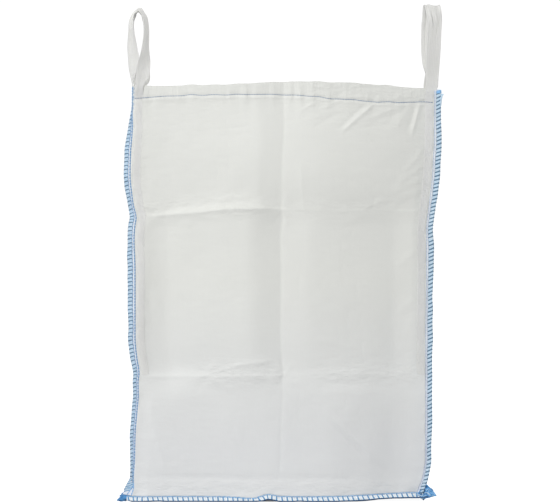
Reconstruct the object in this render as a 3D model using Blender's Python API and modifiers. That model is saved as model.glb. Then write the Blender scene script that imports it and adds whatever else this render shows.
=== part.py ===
"""Open-top bulk bag (flexible intermediate bulk container) with four corner lifting loops.

Metres, +Z up. The origin is on the ground below the middle of the bag, and the front faces -Y.
Five woven panels meet in outward seams: one up each corner and one along each bottom edge. Each
seam is a flange of doubled cloth with an overlocked edge and a row of chain stitch. Each loop is a
strap whose two legs are sewn down the two panels beside its corner.
"""
import math

import bmesh
import bpy
from mathutils import Matrix, Vector

# Driving dimensions
BAG_SIDE = 0.860          # seam to seam, the same in width and depth
BAG_HEIGHT = 1.220        # ground to the top edge of the hem
CLOTH = 0.0020            # one coated woven panel, with the body its folds give it
GAP = 0.0003              # clearance that touching pieces keep

SEAM_WIDTH = 0.026        # flange of doubled cloth standing out from a corner
BOTTOM_SEAM_WIDTH = 0.022
SEAM_THICKNESS = 0.0030
BOTTOM_SEAM_HEIGHT = 0.020    # the walls start this far above the ground
BOTTOM_SEAM_DROP = 0.0015     # a bottom seam's root is this far below the foot of its wall
BOTTOM_SEAM_SETBACK = 0.004   # a bottom seam stops this far short of the corner, at its ear
BOTTOM_ROLL = 0.045       # the bottom panel curls up to its seams over this width
OVERLOCK_COVER = 0.010    # how far the overlock reaches in from a flange's edge
OVERLOCK_THREAD = 0.0012
CHAIN_OFFSET = 0.008      # chain stitch, measured out from the seam's root
CHAIN_WIDTH = 0.0016
CHAIN_HEIGHT = 0.0008

EAR_HEIGHT = 0.056        # pointed tail where three seams meet at a bottom corner
EAR_REACH = 0.080
EAR_ROOT = 0.003          # clear of the corner, where the bottom seams end
EAR_GROUND_GAP = 0.0015
EAR_TIP_HEIGHT = 0.006
EAR_NECK = 0.004          # its top is this much wider than the corner seam above it

HEM_HEIGHT = 0.040
HEM_THICKNESS = 0.0012
HEM_STITCH_DROP = 0.034   # from the top edge down to the hem's chain stitch
HEM_STITCH_END_GAP = 0.002    # the chain stitch stops this far short of a leg

WEB_WIDTH = 0.050
WEB_THICKNESS = 0.0025
LEG_WIDTH = 0.030         # a leg shows this much: its outer edge is caught in the corner seam
LEG_INSET = LEG_WIDTH / 2 + 0.003     # from a corner to the middle of a leg
LEG_BOTTOM = 0.355        # the sewn legs end at this height
LOOP_RISE = 0.235         # free height of a loop above the hem
LOOP_HALF_GAP = 0.021     # half the distance between a loop's two uprights
LOOP_BLEND = 0.110        # the uprights turn into line over this height
CREST_STEPS = 7           # an odd number leaves one level facet at the very top
LOOP_BASE_GAP = 0.0006
UPRIGHT_STEPS = 9
HINGE_OUTWARD = 0.026     # a loop folds over about a level line this far out from its corner
HINGE_HEIGHT = 0.002      # and this far above the hem

# How each side's loops stand: turn of the strap, and where their middle is, outward from the corner
LOOP_STANCE = {
    "left": {"turn": math.radians(24), "middle": (-0.006, -0.010)},
    "right": {"turn": math.radians(90), "middle": (0.004, -0.014)},
}

SIDES = ("front", "right", "back", "left")
CORNERS = ("front_right", "back_right", "back_left", "front_left")
HALF = BAG_SIDE / 2


def clear_scene():
    for old in list(bpy.data.objects):
        bpy.data.objects.remove(old, do_unlink=True)


def make_collection(name):
    collection = bpy.data.collections.new(name)
    bpy.context.scene.collection.children.link(collection)
    return collection


def make_material(name, colour, roughness):
    material = bpy.data.materials.new(name)
    material.use_nodes = True
    shader = material.node_tree.nodes["Principled BSDF"]
    shader.inputs["Base Color"].default_value = (*colour, 1.0)
    shader.inputs["Roughness"].default_value = roughness
    shader.inputs["Metallic"].default_value = 0.0
    return material


class Bag:
    """The collection that the pieces go in, and their materials."""

    def __init__(self):
        self.collection = make_collection("bulk_bag")
        self.cloth = make_material("woven_cloth", (0.72, 0.72, 0.70), 0.62)
        self.webbing = make_material("webbing", (0.68, 0.67, 0.64), 0.70)
        self.thread = make_material("blue_thread", (0.14, 0.32, 0.62), 0.55)

    def add(self, name, data, material, matrix):
        data.materials.append(material)
        piece = bpy.data.objects.new(name, data)
        piece.matrix_world = matrix
        self.collection.objects.link(piece)
        return piece

    def block(self, name, low, high, material, matrix):
        """A rectangular piece between two corners of a local frame."""
        low, high = Vector(low), Vector(high)
        form = bmesh.new()
        bmesh.ops.create_cube(form, size=1.0)
        bmesh.ops.scale(form, vec=high - low, verts=form.verts)
        bmesh.ops.translate(form, vec=(low + high) / 2, verts=form.verts)
        data = bpy.data.meshes.new(name)
        form.to_mesh(data)
        form.free()
        return self.add(name, data, material, matrix)

    def outline(self, name, points, thickness, material, matrix):
        """A flat closed outline in a local XY plane, thickened equally both ways along local Z."""
        data = bpy.data.curves.new(name, "CURVE")
        data.dimensions = "2D"
        data.fill_mode = "BOTH"
        data.extrude = thickness / 2
        spline = data.splines.new("POLY")
        spline.points.add(len(points) - 1)
        for point, (x, y) in zip(spline.points, points):
            point.co = (x, y, 0.0, 1.0)
        spline.use_cyclic_u = True
        return self.add(name, data, material, matrix)


def quarter_turn(steps):
    """A turn about the bag's axis, from the front to the side that many steps on."""
    return Matrix.Rotation(math.radians(90 * steps), 4, "Z")


def frame_from(origin, x_axis, y_axis, z_axis):
    """A matrix whose columns are three unit axes and an origin."""
    frame = Matrix((x_axis, y_axis, z_axis)).transposed().to_4x4()
    frame.translation = origin
    return frame


# Panels and hems. Each side is built as the front and turned about the bag's axis.

def side_panels(bag):
    for steps, side in enumerate(SIDES):
        low = (-HALF + CLOTH + GAP, -HALF, BOTTOM_SEAM_HEIGHT)
        high = (HALF, -HALF + CLOTH, BAG_HEIGHT)
        bag.block(f"{side}_panel", low, high, bag.cloth, quarter_turn(steps))


def bottom_panel(bag):
    """A square sheet, flat on the ground, whose border curls up to the bottom seams."""
    rim = HALF - CLOTH - GAP
    flat = HALF - BOTTOM_ROLL
    rim_rise = BOTTOM_SEAM_HEIGHT - CLOTH - GAP
    form = bmesh.new()
    bmesh.ops.create_grid(form, x_segments=3, y_segments=3, size=rim)
    for vert in form.verts:
        on_rim = max(abs(vert.co.x), abs(vert.co.y)) > rim - GAP
        if on_rim:
            vert.co.z = rim_rise
        for axis in (0, 1):
            if abs(vert.co[axis]) < rim - GAP:
                vert.co[axis] = math.copysign(flat, vert.co[axis])
    data = bpy.data.meshes.new("bottom_panel")
    form.to_mesh(data)
    form.free()
    panel = bag.add("bottom_panel", data, bag.cloth, Matrix.Identity(4))
    shell = panel.modifiers.new("cloth", "SOLIDIFY")
    shell.thickness = CLOTH
    shell.offset = 1.0


def hems(bag):
    """The top edge folded in, and the blue chain stitch that shows on the outside."""
    inside = HALF - CLOTH - GAP
    stitch_end = HALF - LEG_INSET - LEG_WIDTH / 2 - HEM_STITCH_END_GAP
    stitch_z = BAG_HEIGHT - HEM_STITCH_DROP
    for steps, side in enumerate(SIDES):
        turn = quarter_turn(steps)
        low = (-inside + HEM_THICKNESS + GAP, -inside, BAG_HEIGHT - HEM_HEIGHT)
        high = (inside, -inside + HEM_THICKNESS, BAG_HEIGHT)
        bag.block(f"{side}_hem", low, high, bag.cloth, turn)
        outside = HALF + GAP
        low = (-stitch_end, -outside - CHAIN_HEIGHT, stitch_z - CHAIN_WIDTH / 2)
        high = (stitch_end, -outside, stitch_z + CHAIN_WIDTH / 2)
        bag.block(f"{side}_hem_stitch", low, high, bag.thread, turn)


# Seams. A seam's frame has X out along the flange, Y through its thickness and Z along the seam.

def seam(bag, name, frame, width, length, stitch_side):
    """A flange, the overlock that wraps its edge, and its row of chain stitch."""
    half_cloth = SEAM_THICKNESS / 2
    half_length = length / 2
    bag.block(f"{name}_seam", (GAP, -half_cloth, -half_length), (width, half_cloth, half_length),
              bag.cloth, frame)

    inner = half_cloth + GAP
    outer = inner + OVERLOCK_THREAD
    start = width - OVERLOCK_COVER
    wrap = [(start, inner), (width + GAP, inner), (width + GAP, -inner), (start, -inner),
            (start, -outer), (width + GAP + OVERLOCK_THREAD, -outer),
            (width + GAP + OVERLOCK_THREAD, outer), (start, outer)]
    bag.outline(f"{name}_overlock", wrap, length, bag.thread, frame)

    near, far = sorted((stitch_side * inner, stitch_side * (inner + CHAIN_HEIGHT)))
    bag.block(f"{name}_chain_stitch", (CHAIN_OFFSET - CHAIN_WIDTH / 2, near, -half_length),
              (CHAIN_OFFSET + CHAIN_WIDTH / 2, far, half_length), bag.thread, frame)


def outward_at(steps):
    """The level direction that points straight out of a corner."""
    return quarter_turn(steps) @ Vector((1, -1, 0)).normalized()


def corner_seams(bag):
    up = Vector((0, 0, 1))
    low = EAR_HEIGHT + GAP
    length = BAG_HEIGHT - low
    for steps, corner in enumerate(CORNERS):
        outward = outward_at(steps)
        across = up.cross(outward)
        foot = quarter_turn(steps) @ Vector((HALF, -HALF, 0))
        frame = frame_from(foot + up * (low + length / 2), outward, across, up)
        faces_viewer = -1 if corner in ("front_right", "back_left") else 1
        seam(bag, corner, frame, SEAM_WIDTH, length, faces_viewer)


def bottom_seams(bag):
    """Flanges that lean out and down from the foot of each wall, just clear of the ground."""
    length = BAG_SIDE - 2 * BOTTOM_SEAM_SETBACK
    for steps, side in enumerate(SIDES):
        turn = quarter_turn(steps)
        along = turn @ Vector((1, 0, 0))
        outward = turn @ Vector((0, -1, -1)).normalized()
        root = turn @ Vector((0, -HALF, BOTTOM_SEAM_HEIGHT - BOTTOM_SEAM_DROP))
        frame = frame_from(root, outward, along.cross(outward), along)
        seam(bag, f"{side}_bottom", frame, BOTTOM_SEAM_WIDTH, length, -1)


def corner_ears(bag):
    """The sewn tails that stand out on the ground where a corner seam meets the bottom seams."""
    top = EAR_HEIGHT - GAP
    tail = [(EAR_ROOT, EAR_GROUND_GAP), (EAR_REACH, EAR_GROUND_GAP),
            (EAR_REACH, EAR_GROUND_GAP + EAR_TIP_HEIGHT), (SEAM_WIDTH + EAR_NECK, top), (EAR_ROOT, top)]
    up = Vector((0, 0, 1))
    for steps, corner in enumerate(CORNERS):
        outward = outward_at(steps)
        foot = quarter_turn(steps) @ Vector((HALF, -HALF, 0))
        frame = frame_from(foot, outward, up, outward.cross(up))
        bag.outline(f"{corner}_ear", tail, SEAM_THICKNESS, bag.cloth, frame)


# Webbing

def sewn_legs(bag):
    """Two straps down each wall, one beside each corner, on the outside of the cloth."""
    for steps, side in enumerate(SIDES):
        turn = quarter_turn(steps)
        for end, corner in ((-1, CORNERS[steps - 1]), (1, CORNERS[steps])):
            middle = end * (HALF - LEG_INSET)
            low = (middle - LEG_WIDTH / 2, -HALF - GAP - WEB_THICKNESS, LEG_BOTTOM)
            high = (middle + LEG_WIDTH / 2, -HALF - GAP, BAG_HEIGHT)
            wall = side if side in ("front", "back") else "side"
            bag.block(f"{corner}_{wall}_leg", low, high, bag.webbing, turn)


def eased(t):
    """From 0 to 1 with a gentle start and end."""
    t = min(max(t, 0.0), 1.0)
    return t * t * (3 - 2 * t)


def upright_sections(base, base_angle, top, top_angle):
    """Sections up one side of a loop: (middle, height, angle of the strap's width, width)."""
    straight = LOOP_RISE - LOOP_HALF_GAP - WEB_THICKNESS / 2
    sections = []
    for i in range(UPRIGHT_STEPS + 1):
        height = LOOP_BASE_GAP + (straight - LOOP_BASE_GAP) * i / UPRIGHT_STEPS
        share = eased(height / LOOP_BLEND)
        middle = Vector(base).lerp(Vector(top), share)
        angle = base_angle + (top_angle - base_angle) * share
        width = LEG_WIDTH + (WEB_WIDTH - LEG_WIDTH) * share
        sections.append((middle, height, angle, width))
    return sections


def loop_sections(stance):
    """All of a loop's sections, from one leg over the crest to the other, outward from the corner."""
    turn = stance["turn"]
    middle = Vector(stance["middle"])
    spread = Vector((-math.cos(turn), math.sin(turn)))
    strap_angle = math.pi / 2 - turn
    offset = GAP + WEB_THICKNESS / 2
    first = upright_sections((-LEG_INSET, offset), 0.0, middle + spread * LOOP_HALF_GAP, strap_angle)
    last = upright_sections((offset, -LEG_INSET), math.pi / 2, middle - spread * LOOP_HALF_GAP,
                            strap_angle)
    crest_z = first[-1][1]
    crest = []
    for i in range(1, CREST_STEPS):
        swing = math.pi * i / CREST_STEPS
        place = middle + spread * LOOP_HALF_GAP * math.cos(swing)
        crest.append((place, crest_z + LOOP_HALF_GAP * math.sin(swing), strap_angle, WEB_WIDTH))
    return first + crest + last[::-1]


def loop_mesh(name, stance, sign_x, sign_y):
    """The strap of one loop, lofted through its sections."""
    centres, across = [], []
    for middle, height, angle, width in loop_sections(stance):
        centres.append(Vector((sign_x * (HALF + middle.x), sign_y * (HALF + middle.y),
                               BAG_HEIGHT + height)))
        across.append(Vector((sign_x * math.cos(angle), sign_y * math.sin(angle), 0)) * width / 2)
    form = bmesh.new()
    rings = []
    last = len(centres) - 1
    for i, (centre, half_width) in enumerate(zip(centres, across)):
        travel = (centres[min(i + 1, last)] - centres[max(i - 1, 0)]).normalized()
        if i in (0, last):
            travel = Vector((0, 0, 1 if i == 0 else -1))
        flat = half_width - travel * half_width.dot(travel)
        normal = travel.cross(flat).normalized() * (WEB_THICKNESS / 2)
        ring = [form.verts.new(centre + flat * a + normal * b)
                for a, b in ((1, 1), (-1, 1), (-1, -1), (1, -1))]
        rings.append(ring)
    for ring, following in zip(rings, rings[1:]):
        for i in range(4):
            j = (i + 1) % 4
            form.faces.new((ring[i], ring[j], following[j], following[i]))
    form.faces.new(rings[0][::-1])
    form.faces.new(rings[-1])
    bmesh.ops.triangulate(form, faces=form.faces)
    bmesh.ops.recalc_face_normals(form, faces=form.faces)
    data = bpy.data.meshes.new(name)
    form.to_mesh(data)
    form.free()
    return data


def lifting_loops(bag):
    for steps, corner in enumerate(CORNERS):
        depth, side = corner.split("_")
        sign_x = 1 if side == "right" else -1
        sign_y = 1 if depth == "back" else -1
        name = f"{corner}_lifting_loop"
        data = loop_mesh(name, LOOP_STANCE[side], sign_x, sign_y)
        outward = outward_at(steps)
        foot = quarter_turn(steps) @ Vector((HALF, -HALF, 0))
        pivot = foot + outward * HINGE_OUTWARD + Vector((0, 0, BAG_HEIGHT + HINGE_HEIGHT))
        data.transform(Matrix.Translation(-pivot))
        bag.add(name, data, bag.webbing, Matrix.Translation(pivot))


def main():
    clear_scene()
    bag = Bag()
    side_panels(bag)
    bottom_panel(bag)
    hems(bag)
    corner_seams(bag)
    bottom_seams(bag)
    corner_ears(bag)
    sewn_legs(bag)
    lifting_loops(bag)


main()
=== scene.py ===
"""The look of an open-top bulk bag: creased woven cloth, webbing loops and blue overlocked seams.

Metres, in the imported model's frame: +Z up, the front faces -Y, the ground is z = 0.
Every wall is a surface that seams, hems, stitches and sewn legs read their places from, so they all
follow the same folds.
"""
import math

import bpy
import numpy as np
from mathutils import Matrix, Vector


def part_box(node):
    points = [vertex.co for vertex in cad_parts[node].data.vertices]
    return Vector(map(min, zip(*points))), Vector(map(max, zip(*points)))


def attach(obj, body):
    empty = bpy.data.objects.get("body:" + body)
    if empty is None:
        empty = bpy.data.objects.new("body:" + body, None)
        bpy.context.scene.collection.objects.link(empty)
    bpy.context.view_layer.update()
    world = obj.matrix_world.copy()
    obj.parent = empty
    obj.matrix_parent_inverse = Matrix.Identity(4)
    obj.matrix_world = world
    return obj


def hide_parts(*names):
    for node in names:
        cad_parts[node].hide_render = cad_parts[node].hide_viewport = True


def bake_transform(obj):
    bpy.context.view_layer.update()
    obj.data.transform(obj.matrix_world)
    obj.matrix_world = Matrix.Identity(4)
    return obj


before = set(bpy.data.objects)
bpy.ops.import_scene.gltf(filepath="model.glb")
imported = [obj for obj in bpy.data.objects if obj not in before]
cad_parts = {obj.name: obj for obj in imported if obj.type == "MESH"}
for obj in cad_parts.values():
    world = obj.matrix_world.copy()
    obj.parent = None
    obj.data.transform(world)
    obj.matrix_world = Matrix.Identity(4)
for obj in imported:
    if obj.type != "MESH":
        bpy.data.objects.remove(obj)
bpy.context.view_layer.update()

HALF = -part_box("front_panel")[0].y          # middle of the bag to a wall
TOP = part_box("front_panel")[1].z            # nominal height of the hem's edge
LEG_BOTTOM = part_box("front_left_front_leg")[0].z
SIDES = ("front", "right", "back", "left")
CORNERS = ("front_right", "back_right", "back_left", "front_left")
# the corners at each side's left and right ends, as seen from outside the bag
ENDS = {side: (CORNERS[i - 1], CORNERS[i]) for i, side in enumerate(SIDES)}
OUTWARD = {"front": (0, -1), "right": (1, 0), "back": (0, 1), "left": (-1, 0)}
SIGNS = {c: (1 if c.endswith("right") else -1, 1 if c.startswith("back") else -1) for c in CORNERS}

SPAN = 2 * HALF                  # the width of a wall
CLOTH = 0.0009                   # thickness of the woven cloth
SEAM_CLOTH = 0.0014              # and of two layers of it, pressed in a seam
SEAM_WIDTH = 0.0265              # a corner seam's flange
BOTTOM_SEAM_WIDTH = 0.0195
EAR_TOP = 0.056                  # where the corner seams pass into their tails
WEB_THICKNESS = 0.0022
LEG_THICKNESS = 0.0015           # where the webbing is sewn flat
WEB_WIDTH = 0.050
HEM = 0.040                      # how far the hem is folded down inside


# ---------------------------------------------------------------- curves and noise

def smooth(points, x):
    """A smooth curve through (x, y) points, flat beyond its ends and never overshooting."""
    xs, ys = (np.array(c, float) for c in zip(*points))
    x = np.clip(np.asarray(x, float), xs[0], xs[-1])
    steps = np.diff(xs)
    rise = np.diff(ys) / steps
    slope = np.zeros(len(xs))
    same = rise[:-1] * rise[1:] > 0
    slope[1:-1][same] = (2 * rise[:-1] * rise[1:] / (rise[:-1] + rise[1:] + 1e-12))[same]
    i = np.clip(np.searchsorted(xs, x, side="right") - 1, 0, len(xs) - 2)
    h, t = steps[i], (x - xs[i]) / steps[i]
    return (ys[i] * (1 + 2 * t) * (1 - t) ** 2 + slope[i] * h * t * (1 - t) ** 2
            + ys[i + 1] * t * t * (3 - 2 * t) + slope[i + 1] * h * t * t * (t - 1))


def step(low, high, x):
    t = np.clip((np.asarray(x, float) - low) / (high - low), 0, 1)
    return t * t * (3 - 2 * t)


def lattice_noise(x, y, seed, size=64):
    """Smooth noise of unit spacing, from about -1 to 1."""
    table = np.random.default_rng(seed).uniform(-1, 1, (size, size))
    x, y = np.broadcast_arrays(np.asarray(x, float), np.asarray(y, float))
    ix, iy = np.floor(x).astype(int), np.floor(y).astype(int)
    fx, fy = x - ix, y - iy
    fx, fy = (f ** 3 * (f * (6 * f - 15) + 10) for f in (fx, fy))
    a, b = table[ix % size, iy % size], table[(ix + 1) % size, iy % size]
    c, d = table[ix % size, (iy + 1) % size], table[(ix + 1) % size, (iy + 1) % size]
    return (a * (1 - fx) + b * fx) * (1 - fy) + (c * (1 - fx) + d * fx) * fy


def unit(v):
    return v / np.linalg.norm(v, axis=-1, keepdims=True)


def distances(points):
    """How far along a line of points each one is."""
    return np.concatenate([[0], np.cumsum(np.linalg.norm(np.diff(points, axis=0), axis=1))])


# ---------------------------------------------------------------- meshes

def object_from(name, verts, faces, material, uv=None):
    mesh = bpy.data.meshes.new(name)
    mesh.from_pydata(np.asarray(verts).reshape(-1, 3).tolist(), [], faces)
    mesh.shade_smooth()
    if uv is not None:
        layer = mesh.uv_layers.new(name="cloth")
        loops = np.empty(len(mesh.loops), int)
        mesh.loops.foreach_get("vertex_index", loops)
        layer.data.foreach_set("uv", np.asarray(uv).reshape(-1, 2)[loops].ravel())
    mesh.materials.append(material)
    piece = bpy.data.objects.new(name, mesh)
    bpy.context.scene.collection.objects.link(piece)
    return piece


def grid_faces(rows, columns, wrap=False):
    """Quads of a grid of points stored row by row; wrap joins the last column to the first."""
    i = np.arange(rows - 1)[:, None] * columns
    j = np.arange(columns if wrap else columns - 1)[None, :]
    k = (j + 1) % columns
    quads = np.stack([i + j, i + k, i + columns + k, i + columns + j], -1)
    return quads.reshape(-1, 4).tolist()


def closed_faces(rows, columns):
    """Faces of a closed form made of ring after ring of points, with both its ends filled."""
    ring = list(range(columns))
    last = (rows - 1) * columns
    return grid_faces(rows, columns, wrap=True) + [ring[::-1], [last + i for i in ring]]


def sheet_object(name, points, uv, material, thickness):
    """A thin closed sheet from a grid of points whose faces look outward."""
    rows, columns = points.shape[:2]
    piece = object_from(name, points, grid_faces(rows, columns), material, uv)
    shell = piece.modifiers.new("thickness", "SOLIDIFY")
    shell.thickness = thickness
    shell.offset = -1.0
    return piece


def tubes(name, paths, across, wide, thick, material, sides=8):
    """Many short threads in one mesh. paths and across are (threads, points, 3): each point's place
    and the direction in which the section is wide. wide and thick are half sizes."""
    paths, across = np.asarray(paths, float), np.asarray(across, float)
    count, length = paths.shape[:2]
    travel = unit(np.gradient(paths, axis=1))
    across = unit(across - travel * np.sum(across * travel, -1, keepdims=True))
    normal = np.cross(travel, across)
    wide = np.broadcast_to(wide, (count, length))[..., None, None]
    thick = np.broadcast_to(thick, (count, length))[..., None, None]
    turn = np.linspace(0, 2 * math.pi, sides, endpoint=False)
    rings = (paths[:, :, None] + across[:, :, None] * wide * np.cos(turn)[:, None]
             + normal[:, :, None] * thick * np.sin(turn)[:, None])
    one = closed_faces(length, sides)
    faces = [[v + t * length * sides for v in face] for t in range(count) for face in one]
    return object_from(name, rings, faces, material)


# ---------------------------------------------------------------- corners and walls

# How far each corner stands outward of its nominal place, against height: across (X) and in depth (Y)
LEAN_X = {
    "front_left": [(0.015, 0.012), (0.044, 0.0055), (0.065, 0.0065), (0.12, 0.0032), (0.20, 0.001),
                   (0.27, -0.0047), (0.314, -0.0082), (0.352, -0.0076), (0.375, -0.0104),
                   (0.390, -0.0097), (0.417, -0.005), (0.48, 0.0012), (0.68, 0.0012), (0.768, 0.0041),
                   (0.81, 0.0015), (0.832, -0.002), (0.871, 0.0061), (0.90, 0.0103), (0.96, 0.0158),
                   (1.02, 0.0144), (1.106, 0.0088), (1.14, 0.0098), (1.22, 0.0092)],
    "front_right": [(0.015, -0.040), (0.035, -0.0343), (0.0645, -0.0229), (0.094, -0.0164),
                    (0.125, -0.0123), (0.40, -0.0115), (0.50, -0.0120), (0.62, -0.0100),
                    (0.80, -0.0097), (0.827, -0.0073), (0.871, -0.0018), (0.915, 0.0032),
                    (0.959, 0.0079), (1.018, 0.0108), (1.05, 0.0128), (1.22, 0.0135)],
    "back_left": [(0.0, 0.010), (0.10, 0.004), (0.36, -0.010), (0.60, 0.000), (0.82, -0.002),
                  (0.96, 0.012), (1.22, 0.0092)],
    "back_right": [(0.0, -0.040), (0.12, -0.018), (0.38, -0.016), (0.80, -0.012), (1.00, 0.008),
                   (1.22, 0.0135)],
}
LEAN_Y = {
    "front_left": [(0.0, 0.000), (0.37, -0.008), (0.60, 0.000), (0.85, 0.003), (1.05, 0.010),
                   (1.22, 0.006)],
    "front_right": [(0.0, -0.006), (0.30, 0.002), (0.40, -0.004), (0.85, 0.000), (1.05, 0.008),
                    (1.22, 0.006)],
    "back_left": [(0.0, -0.004), (0.37, -0.002), (0.62, 0.006), (0.85, -0.004), (1.05, 0.006),
                  (1.22, 0.006)],
    "back_right": [(0.0, -0.004), (0.20, 0.004), (0.37, -0.006), (0.70, 0.004), (1.00, 0.008),
                   (1.22, 0.006)],
}
# Top edge and bottom edge of each wall, against the share of the way along it
TOP_EDGE = {
    "front": [(0, 0.000), (0.26, 0.003), (0.56, 0.012), (0.77, 0.006), (1, -0.009)],
    "right": [(0, -0.009), (0.30, 0.004), (0.62, 0.001), (1, -0.004)],
    "back": [(0, -0.004), (0.40, 0.008), (0.70, 0.003), (1, -0.003)],
    "left": [(0, -0.003), (0.35, 0.002), (0.65, 0.007), (1, 0.000)],
}
BOTTOM_EDGE = {
    "front": [(0, 0.0165), (0.23, 0.0172), (0.34, 0.0150), (0.425, 0.0108), (0.478, 0.0236),
              (0.53, 0.0172), (0.64, 0.0165), (0.83, 0.0223), (1, 0.0290)],
    "right": [(0, 0.0290), (0.3, 0.0190), (1, 0.0180)],
    "back": [(0, 0.0180), (0.5, 0.0200), (1, 0.0175)],
    "left": [(0, 0.0175), (0.5, 0.0195), (1, 0.0155)],
}
# How far the hem's stitching runs below the top edge
HEM_DROP = {
    "front": [(0, 0.0365), (0.06, 0.0325), (0.115, 0.0290), (0.26, 0.029), (0.55, 0.040),
              (0.68, 0.048), (0.80, 0.050), (1, 0.038)],
    "right": [(0, 0.038), (0.5, 0.034), (1, 0.036)],
    "back": [(0, 0.036), (0.5, 0.038), (1, 0.034)],
    "left": [(0, 0.034), (0.5, 0.037), (1, 0.035)],
}
FOLD_HEIGHTS = (0.372, 0.852)       # the bag was packed folded in three
CRINKLE = 0.0008                    # height of the fine wrinkling left by handling
HEM_PRINT = 0.009                   # the hem's inside edge shows this far below its stitching


def corner(name, z):
    """The root of a corner seam at heights z."""
    sx, sy = SIGNS[name]
    z = np.asarray(z, float)
    x = sx * (HALF + smooth(LEAN_X[name], z))
    y = sy * (HALF + smooth(LEAN_Y[name], z))
    return np.stack([x, y, z], -1)


def crease(x, z, start, end, width, depth):
    """A pressed line that fades at its ends: a ridge, or a valley where depth is negative."""
    a, b = np.array(start, float), np.array(end, float)
    along = b - a
    length = np.linalg.norm(along)
    along /= length
    s = (x - a[0]) * along[0] + (z - a[1]) * along[1]
    off = (x - a[0]) * -along[1] + (z - a[1]) * along[0]
    fade = step(-0.1, 0.25, s / length) * step(-0.1, 0.25, 1 - s / length)
    return depth * fade * np.exp(-np.sqrt(off ** 2 + (0.15 * width) ** 2) / width)


def star(x, z, centre, reach, depth, seed):
    """A small crumple where fold lines meet: short creases in all directions."""
    total = 0 * x
    rng = np.random.default_rng(seed)
    for i in range(6):
        angle = math.pi * (i + rng.uniform(-0.35, 0.35)) / 3
        end = (centre[0] + reach * rng.uniform(0.6, 1.2) * math.cos(angle),
               centre[1] + reach * rng.uniform(0.6, 1.2) * math.sin(angle))
        total = total + crease(x, z, centre, end, 0.008, depth * (1 if i % 2 else -1))
    return total


# How steeply the front wall's panels turn away across the bag, in degrees against x, at the middle of
# its lower, middle and upper thirds. Positive turns the cloth towards the left.
PANEL_TURNS = (
    [(-0.43, 4.5), (-0.30, 6), (0.12, 3.75), (0.17, -3), (0.22, -9), (0.30, -13.5), (0.35, -6),
     (0.43, 4.5)],
    [(-0.43, -12), (-0.385, -12), (-0.345, -4.5), (-0.325, 6), (-0.31, 8.25), (-0.11, 6.75), (-0.09, 0),
     (-0.055, -9.75), (-0.012, -7.5), (0.006, 4.5), (0.065, 2.25), (0.095, -4.5), (0.15, -9.75),
     (0.32, -13.5), (0.345, -5.25), (0.385, -3), (0.43, -10.5)],
    [(-0.43, -3), (-0.36, -1.5), (-0.30, 4.5), (-0.22, 6), (-0.08, 4.5), (-0.055, -6), (-0.010, -3),
     (0.006, 4.5), (0.07, 2.25), (0.12, -4.5), (0.25, -11.25), (0.43, -13.5)],
)


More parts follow.
